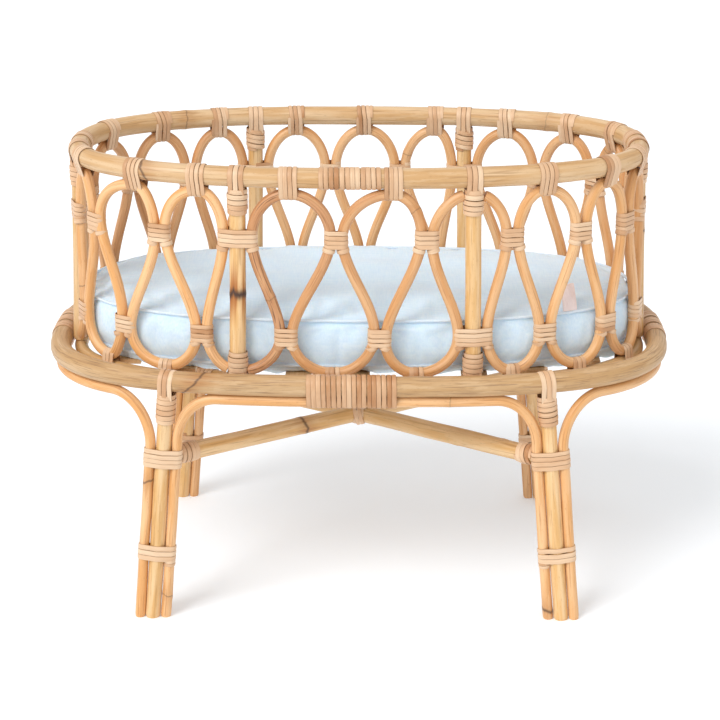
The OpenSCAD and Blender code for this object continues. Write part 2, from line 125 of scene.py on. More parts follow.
lamp = bpy.data.objects.new("soft_lamp", bpy.data.lights.new("soft_lamp", "SUN"))
bpy.context.scene.collection.objects.link(lamp)
lamp.data.energy = 1.7
lamp.data.angle = math.radians(28)
lamp.rotation_euler = (math.radians(46), 0, math.radians(-40))

# ---- Rattan poles and canes ----------------------------------------------------------
# The frame is peeled rattan: solid, round, full of long pores, and swollen with a dark line
# at each old leaf joint. It is steamed and bent by hand, so no length is quite round or true.
# Each point of a cane keeps its place in the straight cane it was bent from, for the grain.

dice = random.Random(11)


def unit(v):
    return v / np.linalg.norm(v, axis=-1, keepdims=True)


def carried_along(path, side):
    """Directions along a path and two across it, turned no more than the path turns."""
    along = unit(np.gradient(path, axis=0))
    across = np.empty_like(path)
    for i, d in enumerate(along):
        side = unit(side - d * (side @ d))
        across[i] = side
    return along, across, np.cross(along, across)


def cane(name, points, radius, finish, node, side=(0, 0, 1), knots=(), tone=0.5,
         on_floor=False, worn=0.9):
    """A bent cane along points, standing for a CAD node. knots gives the distance, darkness
    and slant of each leaf joint, and tone how brown the cane is, or how brown from end to end.
    A cane whose ends are on the floor is cut level there."""
    ring_step, sides, wander = 2.4 * mm, 22, 0.35 * mm
    swell, out_of_round, twist = 0.025, 0.014, 9
    joint_swell, joint_reach = 0.05, 3 * mm
    points = np.asarray(points, float)
    far = np.concatenate([[0], np.cumsum(np.linalg.norm(np.diff(points, axis=0), axis=1))])
    s = np.linspace(0, far[-1], int(far[-1] / ring_step) + 1)
    path = np.stack([np.interp(s, far, points[:, k]) for k in range(3)], -1)
    along, across, third = carried_along(path, np.array(side, float))
    salt = dice.uniform(0, 50)

    def drift(length, row):
        return np.array([noise.noise((x / length, salt, row)) for x in s])[:, None]

    path = path + wander * (across * drift(0.05, 1) + third * drift(0.05, 2))
    turn = np.linspace(0, 2 * math.pi, sides, endpoint=False)
    width = radius * (1 + swell * drift(0.06, 3)
                      + out_of_round * np.cos(2 * turn + twist * drift(0.2, 4)))
    gap = np.full((len(s), sides), 1.0)
    dark = np.zeros((len(s), sides))
    for at, darkness, slant in knots:
        here = s[:, None] - at + slant * radius * np.cos(turn)
        nearer = np.abs(here) < np.abs(gap)
        gap, dark = np.where(nearer, here, gap), np.where(nearer, darkness, dark)
    width = width + radius * joint_swell * np.exp(-((gap / joint_reach) ** 2)) * (dark > 0)
    width[[0, -1]] *= worn
    rings = path[:, None] + width[..., None] * (
        np.cos(turn)[:, None] * across[:, None] + np.sin(turn)[:, None] * third[:, None])
    if on_floor:
        for i in (0, -1):
            rings[i] -= along[i] * (rings[i][:, 2:] / along[i][2])
    straight = np.stack([width * np.cos(turn), width * np.sin(turn),
                         np.broadcast_to(s[:, None], width.shape)], -1)
    ends = [rings[0].mean(0), rings[-1].mean(0)]
    total = len(s) * sides
    tones = np.interp(s, np.linspace(0, s[-1], np.size(tone)), np.atleast_1d(tone))
    faces = [(i * sides + j, i * sides + (j + 1) % sides,
              (i + 1) * sides + (j + 1) % sides, (i + 1) * sides + j)
             for i in range(len(s) - 1) for j in range(sides)]
    for j in range(sides):
        k = (j + 1) % sides
        faces += [(total, k, j), (total + 1, total - sides + j, total - sides + k)]
    flat = np.concatenate([straight.reshape(-1, 3), [[0, 0, 0], [0, 0, s[-1]]]]) + salt
    made = mesh_object(name, np.concatenate([rings.reshape(-1, 3), ends]), faces, finish, {
        "straight": flat,
        "tone": np.append(np.repeat(tones, sides), tones[[0, -1]]),
        "knot_gap": np.append(gap.ravel(), [1, 1]),
        "knot_dark": np.append(dark.ravel(), [0, 0])})
    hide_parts(node)
    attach(made, "frame")
    return made


def rattan(name, pale, warm, brown, streak, pore_mm, gloss):
    """Peeled rattan under a thin clear varnish. Its pores run the whole length and show as fine
    broken streaks; broad bands of warmer colour follow them. A brown cane is cracked along its
    grain. Satin, from the varnish."""
    made, tree, shader = material(name)
    straight = add(tree, "Attribute", attribute_name="straight").outputs["Vector"]
    tone = add(tree, "Attribute", attribute_name="tone").outputs["Fac"]
    gap = add(tree, "Attribute", attribute_name="knot_gap").outputs["Fac"]
    dark = add(tree, "Attribute", attribute_name="knot_dark").outputs["Fac"]

    def grain(across_mm, along_mm, detail=2.0):
        scale = [1 / (across_mm * mm), 1 / (across_mm * mm), 1 / (along_mm * mm)]
        at = add(tree, "VectorMath", {0: straight, 1: scale}, operation="MULTIPLY")
        sockets = {"Vector": at.outputs[0], "Scale": 1.0, "Detail": detail}
        return add(tree, "TexNoise", sockets).outputs["Fac"]

    def share(value, low, high, top):
        sockets = {"Value": value, "From Min": low, "From Max": high, "To Min": 0.0, "To Max": top}
        return add(tree, "MapRange", sockets, interpolation_type="SMOOTHSTEP").outputs[0]

    def blend(factor, under, over):
        return add(tree, "Mix", {0: factor, 6: under, 7: over}, data_type="RGBA").outputs[2]

    bands, pores, flecks = grain(7, 90), grain(pore_mm, 38, 3.0), grain(0.7, 4)
    colour = blend(share(bands, 0.36, 0.64, 1.0), linear(pale), linear(warm))
    colour = blend(share(tone, 0.4, 1.0, 0.75), colour, linear(brown))
    # Ragged patches where the scraper missed the pale outer skin
    colour = blend(share(grain(4, 34, 4.0), 0.54, 0.58, 0.4), colour, linear(pale))
    colour = blend(share(pores, 0.52, 0.74, 0.6), colour, linear(streak))
    colour = blend(share(flecks, 0.62, 0.76, 0.45), colour, linear(streak))
    # Fine cracks, only where the cane is brown
    fine, where_brown = share(grain(1.0, 26, 3.0), 0.56, 0.66, 0.85), share(tone, 0.7, 1.0, 1.0)
    cracks = add(tree, "Math", {0: fine, 1: where_brown}, operation="MULTIPLY").outputs[0]
    colour = blend(cracks, colour, linear("#6b4429"))
    shade = add(tree, "MapRange", {"Value": tone, "To Min": 1.1, "To Max": 0.88}).outputs[0]
    colour = add(tree, "VectorMath", {0: colour, "Scale": shade}, operation="SCALE").outputs[0]
    # The leaf joint: a ragged dark line, thicker where it is darker, over a stain that fades on
    # both sides, with an orange streak along the pores of the heaviest ones
    ragged = add(tree, "MapRange", {"Value": grain(4.5, 500), "To Min": -1.0, "To Max": 1.0}).outputs[0]
    heavy = add(tree, "Math", {0: dark, 1: 5.0}, operation="POWER").outputs[0]
    thick = add(tree, "MapRange", {"Value": heavy, "To Min": 0.9 * mm, "To Max": 6.5 * mm}).outputs[0]
    sway = add(tree, "MapRange", {"Value": heavy, "To Min": 2.0 * mm, "To Max": 5.0 * mm}).outputs[0]
    line = add(tree, "Math", {0: ragged, 1: sway, 2: gap}, operation="MULTIPLY_ADD").outputs[0]
    line = add(tree, "Math", {0: line}, operation="ABSOLUTE").outputs[0]
    streaks = share(grain(4, 120), 0.45, 0.56, 1.0)
    streaked = add(tree, "Math", {0: heavy, 1: streaks}, operation="MULTIPLY").outputs[0]
    for reach, depth, strength, code in (
            (34 * mm, 1.0, streaked, "#ad6524"), (15 * mm, 0.45, dark, "#a4662a"),
            (thick, 1.0, dark, "#452a19")):
        fade = add(tree, "MapRange", {"Value": line, "From Max": reach, "To Min": depth, "To Max": 0.0},
                   interpolation_type="SMOOTHSTEP").outputs[0]
        amount = add(tree, "Math", {0: fade, 1: strength}, operation="MULTIPLY").outputs[0]
        colour = blend(amount, colour, linear(code))
    tree.links.new(colour, shader.inputs["Base Color"])
    rough = add(tree, "MapRange", {"Value": bands, "To Min": gloss - 0.08, "To Max": gloss + 0.16})
    tree.links.new(rough.outputs[0], shader.inputs["Roughness"])
    shader.inputs["Coat Weight"].default_value = 0.18
    shader.inputs["Coat Roughness"].default_value = 0.32
    bump = add(tree, "Bump", {"Height": pores, "Distance": 0.35 * mm, "Strength": 0.55})
    tree.links.new(bump.outputs[0], shader.inputs["Normal"])
    return made


pole_rattan = rattan("peeled_rattan_pole", "#e5c190", "#d8a96a", "#cfa266", "#a87742", 1.5, 0.42)
core_rattan = rattan("bent_rattan_core", "#eabb87", "#dda263", "#cb8d60", "#a96c39", 1.3, 0.46)
tan_rattan = rattan("sanded_rattan_pole", "#dfbd92", "#cda16c", "#c49b69", "#9c7043", 1.6, 0.5)

# ---- Stand ring ----------------------------------------------------------------------
# One thick pole bent to a long oval, its tapered ends glued and nailed under the wide wrap
# at the front. The basket hangs inside it.


def plan_point(plan, turn):
    """Point of an oval plan (half length, half width, squareness) in a direction."""
    c, s = np.cos(turn), np.sin(turn)
    reach = (np.abs(c / plan[0]) ** plan[2] + np.abs(s / plan[1]) ** plan[2]) ** (-1 / plan[2])
    return np.stack([reach * c, reach * s], -1)


def plan_lengths(plan):
    """Distances from the left tip round the front, against the direction they lead to."""
    turns = np.radians(np.arange(180, 541))
    steps = np.linalg.norm(np.diff(plan_point(plan, turns), axis=0), axis=1)
    return np.concatenate([[0], np.cumsum(steps)]), turns


def on_plan(plan, s):
    lengths, turns = plan_lengths(plan)
    return plan_point(plan, np.interp(np.mod(s, lengths[-1]), lengths, turns))


def plan_outward(plan, p):
    """Outward direction of a plan at a point, as a level unit vector."""
    x, y = p[..., 0] / plan[0], p[..., 1] / plan[1]
    power = plan[2] - 1
    slope = [np.sign(x) * np.abs(x) ** power / plan[0], np.sign(y) * np.abs(y) ** power / plan[1],
             np.zeros_like(x)]
    return unit(np.stack(slope, -1))


def plan_y(plan, x):
    return plan[1] * (1 - (abs(x) / plan[0]) ** plan[2]) ** (1 / plan[2])


def level(points, z):
    return np.concatenate([points, np.full((len(points), 1), z)], 1)


ring_r = 9 * mm
ring_plan = (266 * mm, 146.3 * mm, 2.95)
ring_z = sum(corner.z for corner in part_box("stand_ring")) / 2
ring_length = plan_lengths(ring_plan)[0][-1]
ring_joint = ring_length / 4 - 4 * mm

ring_path = level(on_plan(ring_plan, ring_joint + np.linspace(0, ring_length, 500)), ring_z)
cane("stand_ring_pole", ring_path, ring_r, tan_rattan, "stand_ring", tone=0.85,
     knots=[(0.33 * ring_length, 0.5, 0.1), (0.62 * ring_length, 0.4, 0.1),
            (ring_length - 133 * mm, 0.75, -1.0)], worn=1)

# ---- Aprons and legs -----------------------------------------------------------------
# Each apron is one cane that runs up a leg, bends under the stand ring, follows it and goes
# down the next leg. A leg is a straight pole with an apron's end on each side.

leg_r, apron_r = 6.6 * mm, 4.5 * mm
leg_top_x, foot_x = 160 * mm, 179 * mm
leg_y = plan_y(ring_plan, leg_top_x)
touch = 0.2 * mm
leg_top_z = ring_z - ring_r - touch
apron_z = leg_top_z - apron_r
lean = (foot_x - leg_top_x) / leg_top_z
beside_leg = leg_r + apron_r + touch
bend_z, bend_run = apron_z - 44 * mm, 36 * mm


def on_leg(side, face, off, z):
    return np.array([side * (foot_x - lean * z + off), face * leg_y, z])


def ring_distance(x):
    """Distance along the stand ring of the point at x on its front side."""
    lengths, turns = plan_lengths(ring_plan)
    turn = math.atan2(-plan_y(ring_plan, x), x) + 2 * math.pi
    return np.interp(turn, turns, lengths)


def apron_rise(side, face, off, s, way):
    """From the floor, up a leg and round the bend, to the start of the level stretch."""
    top = on_leg(side, face, off, bend_z)
    shift = top - np.append(on_plan(ring_plan, s), top[2])
    shift[2] = 0
    rise = [on_leg(side, face, off, z) for z in np.linspace(0, bend_z, 30)]
    for a in np.radians(np.linspace(0, 90, 24))[1:]:
        p = on_plan(ring_plan, s + way * bend_run * (1 - math.cos(a)))
        z = bend_z + (apron_z - bend_z) * math.sin(a)
        rise.append(np.append(p, z) + shift * (1 - math.sin(a)))
    return rise


def apron(first, s1, second, s2):
    stretch = np.linspace(s1 + bend_run, s2 - bend_run, 60)[1:-1]
    middle = list(level(on_plan(ring_plan, stretch), apron_z))
    return np.array(apron_rise(*first, s1, 1) + middle + apron_rise(*second, s2, -1)[::-1])


inner_x = leg_top_x + lean * (leg_top_z - bend_z) - beside_leg
outer_x = inner_x + 2 * beside_leg
half_turn = np.array([-1, -1, 1])
front = apron((-1, -1, -beside_leg), ring_distance(-inner_x),
              (1, -1, -beside_leg), ring_distance(inner_x))
left = apron((-1, 1, beside_leg), -ring_distance(-outer_x),
             (-1, -1, beside_leg), ring_distance(-outer_x))
front_length = np.linalg.norm(np.diff(front, axis=0), axis=1).sum()
left_length = np.linalg.norm(np.diff(left, axis=0), axis=1).sum()
for name, path, tone, knots in (
        ("front", front, 0.35, [(21 * mm, 0.5, 0.3), (front_length - 9 * mm, 0.8, 0.4),
                                (front_length - 265 * mm, 0.35, 0.1)]),
        ("back", front * half_turn, 0.6, [(140 * mm, 0.5, 0.2)]),
        ("left", left, 0.3, [(left_length - 129 * mm, 0.7, 0.5), (left_length / 2 + 60 * mm, 0.3, 0.1)]),
        ("right", left * half_turn, 0.4, [(left_length / 2, 0.4, 0.2)])):
    cane(f"apron_{name}_cane", path, apron_r, core_rattan, f"apron_{name}",
         side=(1, 0.3, 0.2), knots=knots, tone=tone, on_floor=True)

leg_corners = [(side, face, f"{'front' if face < 0 else 'back'}_{'left' if side < 0 else 'right'}")
               for face in (-1, 1) for side in (-1, 1)]
for side, face, corner in leg_corners:
    path = [on_leg(side, face, 0, z) for z in np.linspace(0, leg_top_z - 0.6 * mm, 60)]
    cane(f"leg_{corner}_pole", path, leg_r, pole_rattan, f"leg_{corner}",
         side=(0, 1, 0), tone=0.1 if side > 0 else 0.3, on_floor=True)

# ---- Crossed brace -------------------------------------------------------------------
# Two poles from each front leg to the back leg across from it, halved into each other in the
# middle. Their ends stop at the legs and are lashed there.

brace_r = 7.8 * mm
brace_heights = {-1: 150 * mm, 1: 132 * mm}
brace_middle = np.array([0, 0, sum(brace_heights.values()) / 2])
brace_gap, notch_reach = 15 * mm, 11 * mm


def brace_end(side, face, d):
    end = on_leg(side, face, 0, brace_heights[face])
    return end + d * unit(brace_middle - end)


for side, name, keeps, tone, knots in ((-1, "right", 1, 0.3, [(133 * mm, 0.8, 0.25)]),
                                       (1, "left", -1, 0.5, [(60 * mm, 0.2, 3.5)])):
    ends = brace_end(side, -1, brace_gap), brace_end(-side, 1, brace_gap)
    path = [ends[0] + (ends[1] - ends[0]) * t for t in np.linspace(0, 1, 90)]
    pole = cane(f"brace_rising_{name}_pole", path, brace_r, pole_rattan,
                f"brace_rising_{name}", knots=knots, tone=tone)
    # The notch that takes the other pole
    for v in pole.data.vertices:
        if math.hypot(v.co.x, v.co.y) < notch_reach and (v.co.z - brace_middle[2]) * keeps < 0:
            v.co.z = brace_middle[2]

# ---- Peel bindings -------------------------------------------------------------------
# Rattan peel is the glossy skin of the vine, split into flat strips some 4 mm wide and wound
# wet over each joint, turn beside turn. It shrinks tight as it dries, and the end is tucked
# under on the inner side. No two turns lie or colour quite alike.


def new_peel():
    return {"points": [], "faces": [], "straight": [], "edge": [], "tone": []}


peel_thick = 0.75 * mm
strip_profile = [(-1, 0), (-0.9, 0.75), (-0.35, 1), (0.35, 1), (0.9, 0.75), (1, 0)]


def lay_strip(peel, path, outward, across, width, thick, tone):
    """Adds one flat strip with a domed face. across is the direction of its width."""
    first = len(peel["points"])
    count = len(strip_profile)
    run = np.concatenate([[0], np.cumsum(np.linalg.norm(np.diff(path, axis=0), axis=1))])
    salt = dice.uniform(0, 30)
    for i, p in enumerate(path):
        for x, h in strip_profile:
            peel["points"].append(p + across[i] * x * width[i] / 2 + outward[i] * h * thick)
            peel["straight"].append((x * width[i] / 2 + salt, h * thick, run[i] + salt))
            peel["edge"].append(abs(x))
            peel["tone"].append(tone[i])
    for i in range(len(path) - 1):
        for j in range(count):
            a, b = first + i * count + j, first + i * count + (j + 1) % count
            peel["faces"].append((a, a + count, b + count, b))
    last = first + (len(path) - 1) * count
    peel["faces"].append(tuple(range(first, first + count)))
    peel["faces"].append(tuple(range(last + count - 1, last - 1, -1)))


def tight_round(circles, angle):
    """Point and outward direction of a strip drawn tight round circles (out, side, radius)."""
    d = np.array([math.cos(angle), math.sin(angle)])
    out, side, r = max(circles, key=lambda c: c[0] * d[0] + c[1] * d[1] + c[2])
    return np.array([out, side]) + r * d, d


def wind(peel, place, circles, length, turns, lift=0.0, brown=0.35):
    """Winds one strip round circles, over a length along the first direction of place.
    place is an origin and the directions along, out and side."""
    origin, along, out, side = place
    pitch = length / turns
    steps, even = 30, 0.35
    shift = [dice.uniform(-0.10, 0.10) * pitch for _ in range(turns + 2)]
    rise = [lift + dice.uniform(0, 0.35) * mm for _ in range(turns + 2)]
    wide = [pitch * dice.uniform(0.86, 1.04) for _ in range(turns + 2)]
    shade = [min(1, max(0, dice.gauss(brown, 0.28))) for _ in range(turns + 2)]
    path, outward, width, tone = [], [], [], []
    for k in range(turns * steps + 1):
        lap, part = divmod(k, steps)
        part /= steps
        # A turn lies nearly square on the outer side and steps along on the inner side
        inner_step = 0.5 * (1 - even) * abs(2 * part - 1) ** 3 * (1 if part > 0.5 else -1)
        ease = 0.5 + even * (part - 0.5) + inner_step
        mix = [1 - ease, ease]
        x = -length / 2 + pitch * (lap + ease) + shift[lap] * mix[0] + shift[lap + 1] * mix[1]
        x = min(max(x, -length / 2 + pitch / 2), length / 2 - pitch / 2)
        flat, d = tight_round(circles, math.pi + 2 * math.pi * part)
        h = rise[lap] * mix[0] + rise[lap + 1] * mix[1]
        h *= min(1, k / steps, (turns * steps - k) / steps)
        normal = out * d[0] + side * d[1]
        path.append(origin + along * x + out * flat[0] + side * flat[1] + normal * h)
        outward.append(normal)
        width.append(wide[lap] * mix[0] + wide[lap + 1] * mix[1])
        tone.append(shade[lap] * mix[0] + shade[lap + 1] * mix[1])
    lay_strip(peel, np.array(path), outward, [along] * len(path), width, peel_thick, tone)


def strap(peel, place, circles, length, strips):
    """Lays strips side by side over the first circle, their ends running down on to the round
    pole that the second circle stands for."""
    origin, along, out, side = place
    over, (_, tail, pole_r) = circles
    tuck = 0.05
    for i in range(strips):
        x = (i - (strips - 1) / 2) * length / strips
        held = [over, (0, tail, math.sqrt(pole_r**2 - x**2))]
        past = math.asin((over[2] - held[1][2]) / abs(tail)) + tuck
        path, outward = [], []
        for angle in np.linspace(-past, math.pi + past, 36):
            flat, d = tight_round(held, angle)
            normal = out * d[0] + side * d[1]
            path.append(origin + along * x + out * flat[0] + side * flat[1]
                        + normal * dice.uniform(0.0, 0.05) * mm)
            outward.append(normal)
        shade = min(1, max(0, dice.gauss(0.35, 0.2)))
        count = len(path)
        width = np.full(count, length / strips * dice.uniform(0.9, 1.02))
        lay_strip(peel, np.array(path), outward, [along] * count, width, peel_thick, [shade] * count)


# Rattan peel, split and scraped: glossy skin over straw-coloured fibre, with hair-thin lines along it
# and a darker cut edge, made darker still as painted shade for the gaps between turns. Strips from
# different vines differ in colour.
peel_skin, tree, shader = material("scraped_rattan_peel")
straight = add(tree, "Attribute", attribute_name="straight").outputs["Vector"]
tone = add(tree, "Attribute", attribute_name="tone").outputs["Fac"]
edge = add(tree, "Attribute", attribute_name="edge").outputs["Fac"]
line_scale = [1 / (0.75 * mm), 1 / (0.75 * mm), 1 / (30 * mm)]
hair_at = add(tree, "VectorMath", {0: straight, 1: line_scale}, operation="MULTIPLY").outputs[0]
hair = add(tree, "TexNoise", {"Vector": hair_at, "Scale": 1.0, "Detail": 3.0}).outputs["Fac"]
patch_at = add(tree, "VectorMath", {0: straight, 1: [120, 120, 70]}, operation="MULTIPLY").outputs[0]
patch = add(tree, "TexNoise", {"Vector": patch_at, "Scale": 1.0, "Detail": 2.0}).outputs["Fac"]
mottled = add(tree, "Math", {0: patch, 1: -0.5}, operation="ADD").outputs[0]
spread = add(tree, "Math", {0: mottled, 1: 0.5, 2: tone}, operation="MULTIPLY_ADD").outputs[0]
ramp = add(tree, "ValToRGB", {0: spread})
stops = ramp.color_ramp.elements
stops[0].color, stops[1].color = linear("#e9c9a6"), linear("#b27a4a")
stops.new(0.45).color = linear("#dab088")
thread = add(tree, "MapRange", {"Value": hair, "From Min": 0.5, "From Max": 0.75, "To Max": 0.5})
colour = add(tree, "Mix", {0: thread.outputs[0], 6: ramp.outputs[0], 7: linear("#b98a62")},
             data_type="RGBA")
# Each strip darkens at its edges: partly its darker cut edge, partly painted shade for the gaps between
# turns
edge_and_gap_shade = add(tree, "MapRange", {"Value": edge, "From Min": 0.86, "From Max": 1.0, "To Max": 0.75})
colour = add(tree, "Mix", {0: edge_and_gap_shade.outputs[0], 6: colour.outputs[2], 7: linear("#8a6242")},
             data_type="RGBA")
tree.links.new(colour.outputs[2], shader.inputs["Base Color"])
shader.inputs["Roughness"].default_value = 0.45
bump = add(tree, "Bump", {"Height": hair, "Distance": 0.25 * mm, "Strength": 0.5})
tree.links.new(bump.outputs[0], shader.inputs["Normal"])


def finish_peel(peel, name, *nodes):
    made = mesh_object(name, peel["points"], peel["faces"], peel_skin,
                       {key: peel[key] for key in ("straight", "edge", "tone")})
    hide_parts(*nodes)
    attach(made, "frame")


up = np.array([0.0, 0.0, 1.0])

# ---- Bindings of the stand -----------------------------------------------------------
# A strap over the ring at each leg, held by a close collar; two flat ties round the three
# canes of a leg; coils on the brace ends and a crossed lash at their halving; and wide wraps
# that tie the aprons up to the ring at the front, the back and the tips.

foot_tie_z = 62 * mm
straps, leg_ties_high, leg_ties_low, brace_coils = new_peel(), new_peel(), new_peel(), new_peel()
for side, face, corner in leg_corners:
    axis = unit(on_leg(side, face, 0, ring_z) - on_leg(side, face, 0, 0))
    top = on_leg(side, face, 0, ring_z)
    outward = plan_outward(ring_plan, top[:2])
    outward = unit(outward - axis * (outward @ axis))
    strap_tail = ring_r + 6 * mm
    strap(straps, (top, np.cross(outward, axis), outward, axis),
          [(0, 0, ring_r + 0.2 * mm), (0, -strap_tail, leg_r + 0.2 * mm)], 13 * mm, 3)
    collar_from, collar_to = ring_z - ring_r - 29 * mm, ring_z - ring_r - 2 * mm
    middle = on_leg(side, face, 0, (collar_from + collar_to) / 2)
    face_out = np.array([0.0, face, 0.0])
    leg_side = np.cross(axis, face_out)
    wind(straps, (middle, axis, face_out, leg_side), [(0, 0, leg_r + 0.1 * mm)],
         collar_to - collar_from, 6, lift=1.0 * mm)
    canes = [(0, 0, leg_r), (0, beside_leg, apron_r), (0, -beside_leg, apron_r)]
    high, low = on_leg(side, face, 0, brace_heights[face]), on_leg(side, face, 0, foot_tie_z)
    wind(leg_ties_high, (high, axis, face_out, leg_side), canes, 17 * mm, 4)
    wind(leg_ties_low, (low, axis, face_out, leg_side), canes, 15 * mm, 3)
    # The strip ends in two turns round one cane alone
    tail = on_leg(side, face, -beside_leg, foot_tie_z - 10 * mm)
    wind(leg_ties_low, (tail, axis, face_out, leg_side), [(0, 0, apron_r)], 6 * mm, 2)
    inward = unit(brace_middle - high)
    wind(brace_coils, (brace_end(side, face, brace_gap + 9 * mm), inward,
                       unit(np.cross(inward, up)), unit(np.cross(inward, np.cross(inward, up)))),
         [(0, 0, brace_r + 0.1 * mm)], 18 * mm, 4, lift=0.4 * mm)
finish_peel(straps, "leg_top_straps_and_collars", "leg_top_wraps")
finish_peel(leg_ties_high, "leg_upper_bindings", "leg_upper_ties")
finish_peel(leg_ties_low, "leg_lower_bindings", "leg_foot_ties")
finish_peel(brace_coils, "brace_end_coils", "brace_end_wraps")

lash = new_peel()
for tilt in (-16, 16):
    a = math.radians(tilt)
    along = np.array([math.cos(a), 0, math.sin(a)])
    toward_front, square_up = np.array([0.0, -1, 0]), np.array([-math.sin(a), 0, math.cos(a)])
    wind(lash, (brace_middle, along, toward_front, square_up),
         [(-6 * mm, 0, brace_r + 0.3 * mm), (6 * mm, 0, brace_r + 0.3 * mm)], 8 * mm, 2,
         lift=0.0 if tilt < 0 else 0.8 * mm)
finish_peel(lash, "brace_crossing_lash", "brace_crossing_tie")


def at_ring(s):
    p = on_plan(ring_plan, s)
    outward = plan_outward(ring_plan, p)
    return np.append(p, ring_z), np.cross(outward, up), outward, up


# A wide wrap is wound in three lengths, so that it follows the bend of the ring
wrap_pitch, wrap_part = 25.3 * mm, 25.2 * mm
tip_pitch, tip_part = 18 * mm, 15 * mm
ring_and_apron = [(0, 0, ring_r + 0.1 * mm), (0, apron_z - ring_z, apron_r + 0.1 * mm)]
for name, middle in (("front", ring_joint), ("back", ring_length * 3 / 4 - 4 * mm)):
    wide_wrap = new_peel()
    for i in (-1, 0, 1):
        wind(wide_wrap, at_ring(middle + i * wrap_pitch), ring_and_apron, wrap_part, 6, brown=0.6)
    finish_peel(wide_wrap, f"ring_{name}_winding", f"ring_{name}_wrap")
end_wrap = new_peel()
for tip, offset in ((0, -10 * mm), (ring_length / 2, 10 * mm)):
    for i in (-1, 0, 1):
        wind(end_wrap, at_ring(tip + offset + i * tip_pitch), ring_and_apron, tip_part, 3)
finish_peel(end_wrap, "ring_end_windings", "ring_end_wraps")

# ---- Base ring and slats -------------------------------------------------------------
# A thinner pole bent to the foot of the basket, and cross slats of split cane let into it
# under the mattress.

rim_r, loop_r, post_r, base_r = 8.5 * mm, 4.6 * mm, 6.8 * mm, 6 * mm
rim_plan = (243.8 * mm, 120.2 * mm, 2.46)
rim_z = sum(corner.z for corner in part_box("top_rim")) / 2
base_z = sum(corner.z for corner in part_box("base_ring")) / 2
rim_length = plan_lengths(rim_plan)[0][-1]
flare = 0.025

# The places where the wall is bound, from the left end post round the front. half_widths shares
# the rim's length between them, and leans says how many millimetres one leans along the wall.
half_widths = [28, 26, 33, 31.5, 34.5, 32,
               41, 40, 40.5, 32.5, 41,
               33, 29, 32, 28, 25, 24, 31,
               22, 19, 18.5, 26, 27, 30, 30, 40,
               27, 33, 33, 32, 32, 38,
               34, 27, 28, 29, 28, 28, 25, 26.5]
station_count = len(half_widths)
leans = {2: -13, 3: 8, 4: -4.5, 5: -2, 7: 1.5, 8: 2, 9: 7.5, 10: 6, 14: 2, 17: -3}
post_stations = {0: "left_end", 6: "front_left", 11: "front_right", 18: "right_end",
                 26: "back_right", 32: "back_left"}
share = rim_length / sum(half_widths)
first_station = 20 * mm


def station(i):
    return first_station + sum(half_widths[:i]) * share


def leaning(s, z):
    """Distance along the rim with the lean that each station was bound at by hand."""
    places = [station(i) for i in range(station_count + 1)]
    offsets = [leans.get(i, 0) * mm for i in range(station_count + 1)]
    middle_z = (rim_z + base_z) / 2
    return s + np.interp(s, places, offsets) * (z - middle_z) / (rim_z - middle_z)


def on_wall(s, z):
    """A point of the basket wall, which widens a little from the rim down to the base."""
    z = np.broadcast_to(z, np.shape(s))
    wider = 1 + flare * (rim_z - z) / (rim_z - base_z)
    p = on_plan(rim_plan, leaning(s, z)) * wider[..., None]
    return np.concatenate([p, z[..., None]], -1)


circuit = np.linspace(0, rim_length, 500)
cane("base_ring_pole", on_wall(circuit + rim_length * 0.7, base_z), base_r, pole_rattan,
     "base_ring", tone=0.7, knots=[(0.3, 0.5, 0.1), (0.75, 0.5, 0.1)], worn=1)

# Split cane, planed flat: straight pale grain along each slat, no varnish
split_cane, tree, shader = material("planed_split_cane")
where = add(tree, "TexCoord").outputs["Object"]
slat_at = add(tree, "VectorMath", {0: where, 1: [1 / (1.6 * mm), 1 / (60 * mm), 1 / (1.6 * mm)]},
              operation="MULTIPLY").outputs[0]
slat_grain = add(tree, "TexNoise", {"Vector": slat_at, "Scale": 1.0, "Detail": 3.0}).outputs["Fac"]
colour = add(tree, "Mix", {0: slat_grain, 6: linear("#e6c397"), 7: linear("#b98953")}, data_type="RGBA")
tree.links.new(colour.outputs[2], shader.inputs["Base Color"])
shader.inputs["Roughness"].default_value = 0.65
bump = add(tree, "Bump", {"Height": slat_grain, "Distance": 0.3 * mm, "Strength": 0.5})
tree.links.new(bump.outputs[0], shader.inputs["Normal"])
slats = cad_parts["base_slats"]
slats.data.materials.clear()
slats.data.materials.append(split_cane)

# ---- Posts ---------------------------------------------------------------------------
# Six straight poles between the base ring and the rim, the stiff part of the wall. They are
# butted against both and held by the straps, and follow the slight flare of the wall.


def has_post(i):
    return i % station_count in post_stations


post_looks = {0: (0.55, []), 6: (0.05, [(73 * mm, 1.0, 0.2)]), 11: (0.2, []),
              18: (0.6, [(98 * mm, 0.7, 0.2)]), 26: (0.3, []), 32: (0.45, [(120 * mm, 0.3, 0.1)])}
for i, corner in post_stations.items():
    heights = np.linspace(base_z + base_r + 2 * touch, rim_z - rim_r - 2 * touch, 60)
    tone, knots = post_looks[i]
    cane(f"post_{corner}_pole", on_wall(np.full(60, station(i)), heights), post_r, pole_rattan,
         f"post_{corner}", side=(0, 1, 0), knots=knots, tone=tone)

# ---- Looped cane ---------------------------------------------------------------------
# One thin bent cane runs from each post to the next in tall waves: arches that hang from the
# rim and feet that stand on the base ring, pinched together where they are bound.

upper_z, lower_z = 340 * mm, 255 * mm
arch_z = rim_z - rim_r - loop_r - touch
foot_z = base_z + base_r + loop_r + touch
pull = 27 * mm
round_post = post_r + 2.4 * mm


def beside(i):
    return (post_r if has_post(i) else 0) + loop_r + touch / 2


